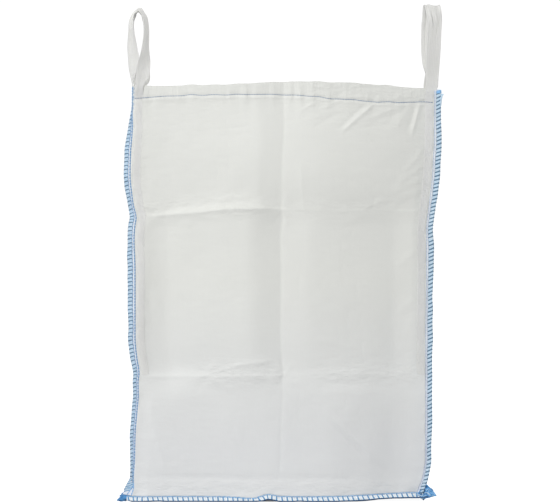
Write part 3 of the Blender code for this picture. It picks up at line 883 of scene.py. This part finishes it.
def webbing_material(name, tint):
    """Webbing ribbed along its length, with painted shade darkening its grooves, fuzzy fibres, and sewn
    legs painted paler as painted light.
    """
    nodes = Nodes(name)
    place = nodes.add("ShaderNodeTexCoord")
    uv = nodes.add("ShaderNodeSeparateXYZ", {0: place.outputs["UV"]})
    ribs = nodes.math("SINE", nodes.math("MULTIPLY", uv.outputs[0], 2 * math.pi / RIB_PITCH))
    picks = nodes.math("SINE", nodes.math("MULTIPLY", uv.outputs[1], 2 * math.pi / PICK_PITCH))
    height = nodes.math("ADD", nodes.math("MULTIPLY", ribs, 0.7), nodes.math("MULTIPLY", picks, 0.3))
    drawn = nodes.add("ShaderNodeMapping", {"Vector": place.outputs["UV"], "Scale": (900.0, 25.0, 1.0)})
    fibres = nodes.noise(drawn.outputs[0], 1.0, 3.0)
    wear = nodes.noise(place.outputs["Object"], 16.0, 3.0)
    # painted shade: the grooves between the ribs are painted darker, as shade standing in the recesses
    groove = nodes.ranged(ribs, -1.0, 0.2, 0.30, 0.0)
    # where it is sewn down its grooves close up, so they get less painted shade; the legs are also
    # painted paler, painted light that offsets the shade beside the corner seams
    from_crest = nodes.math("ABSOLUTE", uv.outputs[1])
    free_share = nodes.ranged(from_crest, FREE_REACH, FREE_REACH + 0.020, 1.0, 0.0)
    tone_with_painted_light = nodes.mix(free_share, SEWN_WEBBING_PAINTED_LIGHT, (*tint, 1))
    groove = nodes.math("MULTIPLY", groove, nodes.math("MULTIPLY_ADD", free_share, 0.6, 0.4))
    colour = nodes.mix(groove, tone_with_painted_light, (tint[0] * 0.80, tint[1] * 0.80, tint[2] * 0.78, 1))
    fuzz = nodes.ranged(nodes.math("ADD", fibres, wear), 0.8, 1.2, 0.0, 0.14)
    colour = nodes.mix(fuzz, colour, (tint[0] * 0.8, tint[1] * 0.8, tint[2] * 0.79, 1))
    nodes.shade(Base_Color=colour, Roughness=0.68, Sheen_Weight=0.12, Subsurface_Weight=0.55,
                Subsurface_Radius=(1.0, 1.0, 0.95), Subsurface_Scale=0.004)
    fine = nodes.bump(fibres, 0.0003, 0.5)
    nodes.shade(Normal=nodes.bump(height, 0.0004, 0.8, fine))
    return nodes.material


def thread_material(name, tint, deep):
    """Twisted thread whose colour drifts from one tint towards a deeper one."""
    nodes = Nodes(name)
    place = nodes.add("ShaderNodeTexCoord")
    ply = nodes.add("ShaderNodeTexWave", {"Vector": place.outputs["Object"], "Scale": 420.0,
                                          "Distortion": 2.5, "Detail": 2.0}, bands_direction="DIAGONAL")
    patch = nodes.noise(place.outputs["Object"], 60.0, 2.0)
    share = nodes.math("MULTIPLY", nodes.ranged(patch, 0.35, 0.65, 0.0, 1.0), 0.55)
    colour = nodes.mix(share, (*tint, 1), (*deep, 1))
    nodes.shade(Base_Color=colour, Roughness=0.58, Sheen_Weight=0.25,
                Normal=nodes.bump(ply.outputs["Fac"], 0.0003, 0.6))
    return nodes.material


# ---------------------------------------------------------------- webbing loops

# Free part of each strap, from the front or back leg over the crest to the side leg. Each section
# is (outward across, outward in depth, height above the hem, angle of its width, width, cup, tilt):
# lengths in metres, the angle and the tilt of its width in degrees.
LEFT_LOOP = [
    (-0.0085, 0.009, -0.002, 0, 0.0235, 0.0000, 0),
    (-0.0114, 0.009, 0.014, 4, 0.0285, -0.001, 0),
    (-0.017, 0.0085, 0.027, 12, 0.039, -0.002, 0),
    (-0.0205, 0.006, 0.05, 30, 0.045, -0.003, 0),
    (-0.0243, 0.003, 0.076, 46, 0.049, -0.003, 0),
    (-0.0269, 0.001, 0.108, 63, 0.05, -0.003, 0),
    (-0.0288, 0.0000, 0.135, 69, 0.05, -0.003, 0),
    (-0.0294, -0.001, 0.164, 73, 0.05, -0.002, 0),
    (-0.0257, -0.004, 0.194, 75, 0.048, -0.0015, 0),
    (-0.0201, -0.007, 0.21, 75, 0.044, -0.001, -2),
    (-0.013, -0.009, 0.2165, 80, 0.04, 0.004, -4),
    (-0.008, -0.011, 0.219, 84, 0.038, 0.009, -8),
    (-0.0025, -0.013, 0.2165, 90, 0.04, 0.004, -4),
    (0.005, -0.015, 0.2115, 96, 0.044, 0.0000, -2),
    (0.0122, -0.018, 0.196, 104, 0.048, -0.001, 0),
    (0.0148, -0.0195, 0.178, 106, 0.05, -0.001, 0),
    (0.0145, -0.0205, 0.16, 109, 0.05, -0.001, 0),
    (0.0134, -0.0215, 0.139, 117, 0.05, -0.001, 0),
    (0.0113, -0.0225, 0.108, 127, 0.05, -0.001, 0),
    (0.0085, -0.0225, 0.085, 130, 0.05, -0.001, 0),
    (0.009, -0.021, 0.059, 124, 0.048, -0.001, 0),
    (0.0105, -0.018, 0.037, 114, 0.042, -0.001, 0),
    (0.0112, -0.014, 0.018, 102, 0.033, -0.0005, 0),
    (0.0118, -0.011, -0.002, 90, 0.026, 0.0000, 0),
]
RIGHT_LOOP = [
    (0.0073, 0.009, -0.002, 0, 0.0358, 0.0000, 0),
    (0.0076, 0.0095, 0.024, -6, 0.0375, 0.0005, 0),
    (0.0088, 0.0105, 0.05, -14, 0.04, 0.001, 0),
    (0.01, 0.012, 0.082, -22, 0.045, 0.0015, 0),
    (0.0122, 0.013, 0.125, -29, 0.0485, 0.002, 0),
    (0.0138, 0.0125, 0.16, -33, 0.05, 0.002, 0),
    (0.015, 0.011, 0.19, -32, 0.05, 0.0015, 0),
    (0.0118, 0.007, 0.215, -20, 0.049, 0.0005, 0),
    (0.0085, -0.004, 0.232, -6, 0.047, 0.0000, 0),
    (0.0062, -0.014, 0.235, 0, 0.046, 0.0000, 0),
    (0.0035, -0.026, 0.226, 6, 0.047, 0.0000, 0),
    (0.0015, -0.032, 0.204, 14, 0.048, 0.001, 0),
    (0.0002, -0.035, 0.174, 18, 0.05, 0.002, 0),
    (-0.001, -0.036, 0.135, 20, 0.05, 0.0025, 0),
    (-0.0008, -0.035, 0.096, 24, 0.05, 0.0025, 0),
    (0.0008, -0.032, 0.062, 34, 0.048, 0.002, 0),
    (0.006, -0.026, 0.034, 56, 0.04, 0.0015, 0),
    (0.012, -0.018, 0.014, 80, 0.03, 0.0005, 0),
    (0.0165, -0.011, -0.002, 90, 0.0245, 0.0000, 0),
]
LEG_INSET = 0.0028
LEG_WIDTH = 0.0255
LEG_TOP = TOP - 0.030
REAR_SHIFT = 0.0075             # the rear loops lean this much further out than the front ones
REAR_RISE = 0.0115              # and stand this much higher


def through(rows, count):
    """A smooth path through control rows, at even distances along it."""
    rows = np.array(rows, float)
    padded = np.vstack([2 * rows[0] - rows[1], rows, 2 * rows[-1] - rows[-2]])
    fine = []
    for a, b, c, d in zip(padded, padded[1:], padded[2:], padded[3:]):
        for t in np.linspace(0, 1, 24, endpoint=False):
            fine.append(0.5 * (2 * b + (c - a) * t + (2 * a - 5 * b + 4 * c - d) * t * t
                               + (3 * b - a - 3 * c + d) * t ** 3))
    fine = np.array(fine + [rows[-1]])
    length = distances(fine[:, :3])
    at = np.linspace(0, length[-1], count)
    return np.stack([np.interp(at, length, fine[:, i]) for i in range(rows.shape[1])], -1), at


STRAP_COLUMNS = np.linspace(-0.5, 0.5, 25)


def leg_rows(side, share_of, z):
    """The strap's middle surface where it is sewn to a wall, edges and end pressed into the cloth."""
    edges = 0.0007 * (np.abs(STRAP_COLUMNS) * 2) ** 4
    end = 0.0022 * step(LEG_BOTTOM + 0.030, LEG_BOTTOM, z)
    sunk = edges + end[:, None]
    return wall(side, share_of[None, :], z[:, None], -sunk)


def strap_rings(rows, thickness):
    """Closed sections round the strap's middle surface rows of shape (rows, columns, 3)."""
    down = np.gradient(rows, axis=0)
    across = np.gradient(rows, axis=1)
    normal = unit(np.cross(across, down))
    edge = 1 - 0.80 * (np.abs(STRAP_COLUMNS) * 2) ** 10
    half = thickness[:, None, None] / 2 * edge[None, :, None]
    return np.concatenate([rows + normal * half, (rows - normal * half)[:, ::-1]], 1)


def free_strap(name):
    """The free part of one loop: its middle surface, and the distance along it."""
    sx, sy = SIGNS[name]
    control = LEFT_LOOP if name.endswith("left") else RIGHT_LOOP
    sections, along = through(control, 130)
    lean = REAR_SHIFT * step(0.0, 0.06, sections[:, 2]) if name.startswith("back") else 0.0
    taller = REAR_RISE * step(0.0, 0.12, sections[:, 2]) if name.startswith("back") else 0.0
    place = np.stack([sx * (HALF + sections[:, 0] + lean), sy * (HALF + sections[:, 1]),
                      TOP + sections[:, 2] + taller], -1)
    angle = np.radians(sections[:, 3])
    tilt = np.radians(sections[:, 6])
    width_dir = np.stack([sx * np.cos(angle) * np.cos(tilt), sy * np.sin(angle) * np.cos(tilt),
                          np.sin(tilt)], -1)
    travel = unit(np.gradient(place, axis=0))
    width_dir = unit(width_dir - travel * np.sum(width_dir * travel, -1, keepdims=True))
    normal = unit(np.cross(width_dir, travel)) * -sx * sy
    spread = STRAP_COLUMNS[None, :, None] * sections[:, 4][:, None, None]
    cup = sections[:, 5][:, None] * (1 - (STRAP_COLUMNS[None] * 2) ** 2)
    crest = step(0.14, 0.21, sections[:, 2])[:, None]
    seed = 400 + CORNERS.index(name)
    across, down = STRAP_COLUMNS[None], along[:, None]
    pleats = 0.0038 * lattice_noise(across * 6 + 9, down / 0.09, seed) * crest
    pleats = pleats + 0.0006 * lattice_noise(across * 9 + 9, down / 0.012, seed + 5) * crest
    pleats = pleats + 0.0010 * lattice_noise(across * 3 + 5, down / 0.06, seed + 9)
    groove = np.exp(-((across - 0.07) / 0.035) ** 2) - 0.9 * np.exp(-((across + 0.28) / 0.05) ** 2)
    pleats = pleats - 0.0018 * groove * step(0.06, 0.16, sections[:, 2])[:, None]
    free = place[:, None] + width_dir[:, None] * spread + normal[:, None] * (cup + pleats)[..., None]
    return free, along


def sewn_leg(name, side, beside):
    """A strap's leg on one wall. Its columns run the same way round as the free part's end, beside."""
    inset = (LEG_INSET + LEG_WIDTH / 2) / SPAN
    middle = inset if ENDS[side].index(name) == 0 else 1 - inset
    z = np.linspace(LEG_BOTTOM, LEG_TOP, 150)
    rows = leg_rows(side, middle + STRAP_COLUMNS * LEG_WIDTH / SPAN, z)
    if np.linalg.norm(rows[-1, 0] - beside[0]) > np.linalg.norm(rows[-1, -1] - beside[0]):
        rows = rows[:, ::-1]
    return rows


def make_straps(material):
    """Each loop's whole strap: up a wall, over the free loop and down the wall beside it."""
    for name in CORNERS:
        free, along = free_strap(name)
        first_side, second_side = name.split("_")
        legs = [sewn_leg(name, first_side, free[0]), sewn_leg(name, second_side, free[-1])]
        rows = np.concatenate([legs[0], free, legs[1][::-1]])
        free_share = np.zeros(len(rows))
        free_share[len(legs[0]):-len(legs[1])] = step(0.0, 0.03, np.minimum(along, along[-1] - along))
        rings = strap_rings(rows, LEG_THICKNESS + (WEB_THICKNESS - LEG_THICKNESS) * free_share)
        faces = closed_faces(*rings.shape[:2])
        middle = rows[:, len(STRAP_COLUMNS) // 2]
        run = distances(middle)
        run = run - run[-1] / 2     # measured from the crest
        around = np.concatenate([STRAP_COLUMNS, STRAP_COLUMNS[::-1]]) * WEB_WIDTH
        uv = np.stack(np.broadcast_arrays(around[None], run[:, None]), -1)
        piece = object_from(f"{name}_strap", rings, faces, material, uv)
        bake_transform(piece)
        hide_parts(f"{name}_lifting_loop", f"{name}_{first_side}_leg", f"{name}_side_leg")


# ---------------------------------------------------------------- ears

def heap(name, foot, heading, top, bottom, depth, material, seed, count=60, radius=0.0015, fill=1.0):
    """Crumpled threads that fill an outline standing out from a corner. top and bottom give its heights
    against how far it reaches outward across the bag; heading is the outward direction in plan."""
    rng = np.random.default_rng(seed)
    first, last = top[0][0], top[-1][0]
    t = np.linspace(0, 1, 14)
    paths = []
    for _ in range(count):
        a, b = np.sort(rng.uniform(-0.15, 1.15, 2))
        b = max(b, a + 0.35)
        share = np.clip(a + (b - a) * t, 0, 1)
        reach = first + (last - first) * share
        level = rng.uniform(-0.1, 1.1) + rng.uniform(-0.7, 0.7) * (t - 0.5)
        level = fill * np.clip(level + 0.12 * np.sin(9 * t + rng.uniform(0, 6)), 0, 1)
        low, high = smooth(bottom, reach) + radius, smooth(top, reach) - radius
        z = low + np.maximum(high - low, 0.0002) * level
        bow = depth * rng.uniform(-1, 1) * np.sqrt(np.clip(1 - (2 * level - 1) ** 2, 0.05, 1))
        bow = bow * step(1.05, 0.7, share) + 0.0008 * np.sin(8 * t + rng.uniform(0, 6))
        place = foot[:2] + heading[None] * reach[:, None] / abs(heading[0])
        sideways = np.array([-heading[1], heading[0]])
        place = place + sideways * bow[:, None]
        paths.append(np.column_stack([place, z]))
    paths = np.array(paths)
    across = np.zeros_like(paths)
    across[..., 2] = 1
    return tubes(name, paths, across, radius * 1.15, radius * 0.8, material)


# How low each tail's flap reaches, how a left one is sewn, and how wide the flaps grow downwards
EAR_LOW = {"front_left": 0.018, "front_right": 0.030, "back_left": 0.018, "back_right": 0.024}
EAR_SEWING = Overlock(pitch=0.0085, slant=0.008, cover=0.026, rung=0.0014, needle=0.0014, chain=0.0018)
EAR_FLARE = {"left": 0.0255, "right": 0.004}
# Outline of each gathered tail: (outward across the bag, height), its top and its bottom
BLUNT_TAIL = ([(0.014, 0.0192), (0.036, 0.0186), (0.047, 0.0150), (0.0570, 0.0062)],
              [(0.014, 0.0150), (0.022, 0.0090), (0.031, 0.0040), (0.045, 0.0006), (0.0570, 0.0026)])
ROUND_TAIL = ([(-0.034, 0.0250), (-0.027, 0.0330), (-0.020, 0.0400), (-0.010, 0.0420), (-0.004, 0.0410),
               (0.006, 0.0320), (0.014, 0.0275), (0.0185, 0.0205)],
              [(-0.034, 0.0200), (-0.028, 0.0120), (-0.022, 0.0088), (0.000, 0.0130), (0.0185, 0.0175)])

# Its threads: colour, how many, their radius, and the part of its height that they fill. The navy deep
# threads are painted shade in the heap's hollows, and the last set, kept to its lowest tenth, is painted
# shade at its foot.
ROUND_TAIL_THREADS = (("solid", 56, 0.0017, 1.0), ("line", 30, 0.0016, 1.0), ("pale", 9, 0.0011, 1.0),
                      ("deep", 8, 0.0010, 1.0), ("deep", 8, 0.0014, 0.10))


def make_ears(cloth, threads):
    """The tail at each bottom corner: a flap that widens downwards, and threads gathered under it."""
    low_threads = threads["low"]
    for index, name in enumerate(CORNERS):
        sx, sy = SIGNS[name]
        low = EAR_LOW[name]
        z = np.linspace(low, EAR_TOP + 0.001, 24)
        root = corner(name, z)
        swing = np.radians(smooth(FLANGE_SWING[name], z))
        outward = np.stack([sx * np.sin(swing), sy * np.cos(swing), 0 * z], -1)
        grow = np.clip((EAR_TOP - z) / (EAR_TOP - low), 0, 1)
        left = name.endswith("left")
        width = SEAM_WIDTH + (EAR_FLARE["left"] if left else EAR_FLARE["right"]) * grow
        seam = Seam(root, outward, width)
        make_flange(f"{name}_tail", seam, cloth, f"{name}_ear")
        if left:
            tail_threads = dict(low_threads, pale=threads["right"]["pale"])
            pieces = sewn_edge(f"{name}_tail", seam, EAR_SEWING, tail_threads, 40 + index)
        else:
            pieces = sewn_edge(f"{name}_tail", seam, RIGHT_SEWING, threads["right"], 40 + index)
        foot = np.array([sx * HALF, sy * HALF])
        if left:
            heading = np.array([sx * 0.707, sy * 0.707 * np.sign(np.cos(swing[0]))])
            pieces.append(heap(f"{name}_tail_threads", foot, heading, *BLUNT_TAIL, 0.007,
                               low_threads["solid"], 70 + index, count=70))
        else:
            heading = np.array([sx * 0.88, sy * 0.47])
            foot = foot + np.array([0.0, sy * 0.016])
            for turn, (kind, count, radius, fill) in enumerate(ROUND_TAIL_THREADS):
                colours = threads["right"] if kind == "pale" else low_threads
                depth = 0.008 + 0.0004 * turn
                pieces.append(heap(f"{name}_tail_{kind}_{turn}", foot, heading, *ROUND_TAIL, depth,
                                   colours[kind], 70 + index + 20 * turn, count, radius, fill))
        for piece in pieces:
            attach(piece, "bag")


# ---------------------------------------------------------------- assembly

def make_seams(cloth, threads):
    for index, name in enumerate(CORNERS):
        seam = corner_seam(name)
        make_flange(f"{name}_flange", seam, cloth, f"{name}_seam")
        right = name.endswith("right")
        sewing = RIGHT_SEWING if right else Overlock()
        pieces = sewn_edge(name, seam, sewing, threads["right" if right else "side"], 10 + index)
        if right:
            pieces.append(seam_cap(name, seam, threads["low"]["line"]))
            pieces.append(frayed_corner(name, seam, threads["right"]["pale"]))
        place_sewing(name, pieces)
    for index, side in enumerate(SIDES):
        seam = bottom_seam(side)
        make_flange(f"{side}_bottom_flange", seam, cloth, f"{side}_bottom_seam")
        pieces = sewn_edge(f"{side}_bottom", seam, BOTTOM_SEWING, threads["low"], 30 + index)
        place_sewing(f"{side}_bottom", pieces)


def sewn_edge(name, seam, sewing, threads, seed):
    """All the thread of one seam: the overlock first, then its needle line and the chain stitch."""
    pieces = overlock_threads(f"{name}_overlock_thread", seam, sewing, threads, seed)
    rows = np.linspace(0.001, seam.length[-1] - 0.001, 400)
    width = seam.edge(rows)
    for i, side in enumerate((1, -1)):
        face = seam.direction(rows, seam.face) * side
        reach = np.maximum(width - sewing.cover, 0.0)
        needle = seam.at(rows, reach, side * (SEAM_CLOTH / 2 + 0.0007))
        pieces.append(make_chain(f"{name}_needle_thread_{i}", needle, face, threads["line"],
                                 sewing.pitch, sewing.needle))
    for i, side in enumerate((1, -1)):
        face = seam.direction(rows, seam.face) * side
        chain = seam.at(rows, sewing.chain_at, side * (SEAM_CLOTH / 2 + 0.0003))
        pieces.append(make_chain(f"{name}_chain_thread_{i}", chain, face, threads["line"],
                                 thick=sewing.chain))
    if sewing.edge:
        cord = seam.at(rows, width + 0.0006, 0 * rows)
        across = seam.direction(rows, seam.face)
        taper = sewing.edge * (0.15 + 0.85 * step(0.0, 0.018, np.minimum(rows, rows[-1] - rows)))
        pieces.append(tubes(f"{name}_edge_cord", cord[None], across[None], taper, taper,
                            threads["deep"]))
    return pieces


def place_sewing(name, pieces):
    for piece in pieces:
        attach(piece, "bag")
        if piece.name == f"{name}_overlock_thread":
            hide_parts(f"{name}_overlock")
        if piece.name == f"{name}_chain_thread_0":
            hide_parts(f"{name}_chain_stitch")


def seam_cap(name, seam, thread):
    """The close turns of thread that finish a seam's top end."""
    total = seam.length[-1]
    start = total - np.linspace(0.001, 0.007, 4)
    turn = np.linspace(-1, 1, 13)
    length = start[:, None] + 0.002 * turn[None]
    reach = seam.edge(length) + 0.0010 - 0.016 * np.abs(turn[None]) ** 1.2
    lift = (SEAM_CLOTH / 2 + 0.0018) * np.sign(turn) * np.clip(np.abs(turn) * 5, 0, 1)
    length = np.clip(length, 0, total)
    paths = seam.at(length, reach, lift[None])
    return tubes(f"{name}_seam_cap", paths, seam.direction(length, seam.along), 0.0015, 0.0008, thread)


def frayed_corner(name, seam, thread):
    """Loose threads at the outer corner of a seam's top end, drawn together to a point."""
    total = seam.length[-1]
    t = np.linspace(0, 1, 9)
    paths = []
    for i, start in enumerate(np.linspace(0.012, 0.046, 14)):
        length = total - start + (start - 0.013) * t
        reach = seam.edge(length) + 0.0005 + (0.0105 - 0.0006 * i) * t ** 1.3
        paths.append(seam.at(np.minimum(length, total), reach, 0.0006 * np.sin(5 * t + i)))
    paths = np.array(paths)
    across = np.broadcast_to(seam.direction(np.full(len(t), total), seam.along), paths.shape)
    return tubes(f"{name}_frayed_corner", paths, across, 0.0019, 0.0007, thread)


def make_hem_stitches(threads):
    for side in SIDES:
        share = np.linspace(0.004, 0.996, 500)
        z = hem_line(side, share)
        from_end = np.minimum(share, 1 - share) * SPAN
        over_leg = step(0.042, 0.038, from_end) * (WEB_THICKNESS + 0.0006)
        line = wall(side, share, z, 0.0004 + over_leg)
        face = wall_normal(side, share, z)
        piece = make_chain(f"{side}_hem_thread", line, face, threads["side"]["hem"],
                           stitch=0.0075, thick=0.0008)
        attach(piece, "bag")
        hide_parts(f"{side}_hem_stitch")


# ---------------------------------------------------------------- studio

FLOOR_GREY = (0.50, 0.50, 0.51, 1)
FLOOR_GLOW = 0.92               # how bright the floor looks by itself
FLOOR_LIGHT = 0.10              # and how much of that falls on the bag
FLOOR_REACH = 400.0             # half its side, so that its edge is out of sight
SKY_LIGHT = 0.49                # the soft light from all round
SKY_SEEN = 1.05                 # and how bright it looks itself


def make_stage():
    """A plain pale floor that looks bright but throws little light up at the bag."""
    nodes = Nodes("floor_white")
    path = nodes.add("ShaderNodeLightPath")
    seen = path.outputs["Is Camera Ray"]
    glow = nodes.math("MULTIPLY_ADD", seen, FLOOR_GLOW - FLOOR_LIGHT, FLOOR_LIGHT)
    nodes.shade(Base_Color=FLOOR_GREY, Roughness=0.9, Specular_IOR_Level=0.0, Emission_Color=(1, 1, 1, 1),
                Emission_Strength=glow)
    size = FLOOR_REACH
    verts = [(-size, -size, 0), (size, -size, 0), (size, size, 0), (-size, size, 0)]
    floor = object_from("floor", verts, [[0, 1, 2, 3]], nodes.material)


def area_light(name, place, target, size, energy):
    """A round soft light of some size in metres and energy in watts, aimed at a point."""
    data = bpy.data.lights.new(name, "AREA")
    data.shape = "DISK"
    data.size = size
    data.energy = energy
    lamp = bpy.data.objects.new(name, data)
    lamp.location = place
    aim = np.array(target) - np.array(place)
    tilt = math.acos(-aim[2] / np.linalg.norm(aim))
    lamp.rotation_euler = (tilt, 0, math.atan2(-aim[0], aim[1]))
    lamp.visible_camera = False
    bpy.context.scene.collection.objects.link(lamp)


def make_light():
    world = bpy.data.worlds.new("studio")
    bpy.context.scene.world = world
    world.use_nodes = True
    tree = world.node_tree
    background = tree.nodes["Background"]
    background.inputs["Color"].default_value = (1, 1, 1, 1)
    background.inputs["Strength"].default_value = SKY_LIGHT
    seen = tree.nodes.new("ShaderNodeBackground")
    seen.inputs["Color"].default_value = (1, 1, 1, 1)
    seen.inputs["Strength"].default_value = SKY_SEEN
    path = tree.nodes.new("ShaderNodeLightPath")
    mix = tree.nodes.new("ShaderNodeMixShader")
    tree.links.new(path.outputs["Is Camera Ray"], mix.inputs[0])
    tree.links.new(background.outputs[0], mix.inputs[1])
    tree.links.new(seen.outputs[0], mix.inputs[2])
    tree.links.new(mix.outputs[0], tree.nodes["World Output"].inputs["Surface"])
    area_light("key", (-4.0, -5.9, 4.7), (0.0, -HALF, 0.5), 4.5, 350)
    area_light("edge", (4.5, 0.2, 2.4), (0.0, -0.2, 0.9), 2.4, 92)


def make_camera():
    """A very long lens, level with the middle of the picture: the front shows with no perspective."""
    distance = 50.0
    view_width = 1.6425
    data = bpy.data.cameras.new("camera")
    data.sensor_width = 36.0
    data.lens = data.sensor_width * distance / view_width
    data.clip_end = 1000.0
    camera = bpy.data.objects.new("camera", data)
    camera.location = (-0.0088, -HALF - distance, 0.733)
    camera.rotation_euler = (math.radians(90), 0, 0)
    bpy.context.scene.collection.objects.link(camera)
    bpy.context.scene.camera = camera


# Thread by where it is used and what for: its name, its tint and the deeper tint it drifts to
THREADS = {
    "side": {
        "dark": ("grey_blue_thread", (0.15, 0.27, 0.40), (0.09, 0.18, 0.31)),
        "pale": ("pale_blue_thread", (0.61, 0.78, 0.93), (0.47, 0.68, 0.87)),
        "line": ("mid_blue_thread", (0.25, 0.44, 0.69), (0.18, 0.36, 0.61)),
        "hem": ("hem_thread", (0.22, 0.32, 0.50), (0.13, 0.20, 0.36)),
    },
    "low": {
        "dark": ("deep_blue_thread", (0.13, 0.37, 0.66), (0.06, 0.23, 0.50)),
        "pale": ("white_blue_thread", (0.97, 1.00, 1.00), (0.84, 0.95, 1.00)),
        "line": ("clear_blue_thread", (0.32, 0.60, 0.92), (0.20, 0.45, 0.80)),
        "deep": ("navy_thread", (0.02, 0.09, 0.22), (0.01, 0.05, 0.15)),
        "solid": ("strong_blue_thread", (0.09, 0.38, 0.76), (0.03, 0.17, 0.47)),
    },
    "right": {
        "dark": ("shaded_blue_thread", (0.12, 0.24, 0.36), (0.06, 0.14, 0.26)),
        "pale": ("sky_blue_thread", (0.64, 0.79, 0.91), (0.49, 0.69, 0.86)),
        "line": ("faint_blue_thread", (0.62, 0.70, 0.84), (0.50, 0.58, 0.74)),
    },
}


def main():
    bpy.context.scene.view_settings.view_transform = "Standard"
    make_camera()
    make_light()
    make_stage()
    cloth = cloth_material("white_woven_cloth", (0.80, 0.808, 0.768))
    seam_cloth = cloth_material("seam_cloth", (0.84, 0.88, 0.92), weave=0.0024)
    webbing = webbing_material("white_webbing", (0.785, 0.785, 0.765))
    threads = {group: {use: thread_material(*look) for use, look in looks.items()}
               for group, looks in THREADS.items()}
    walls = make_walls(cloth)
    hems = make_hems(cloth)
    bottom = make_bottom(cloth)
    make_seams(seam_cloth, threads)
    make_ears(seam_cloth, threads)
    make_hem_stitches(threads)
    make_straps(webbing)


main()
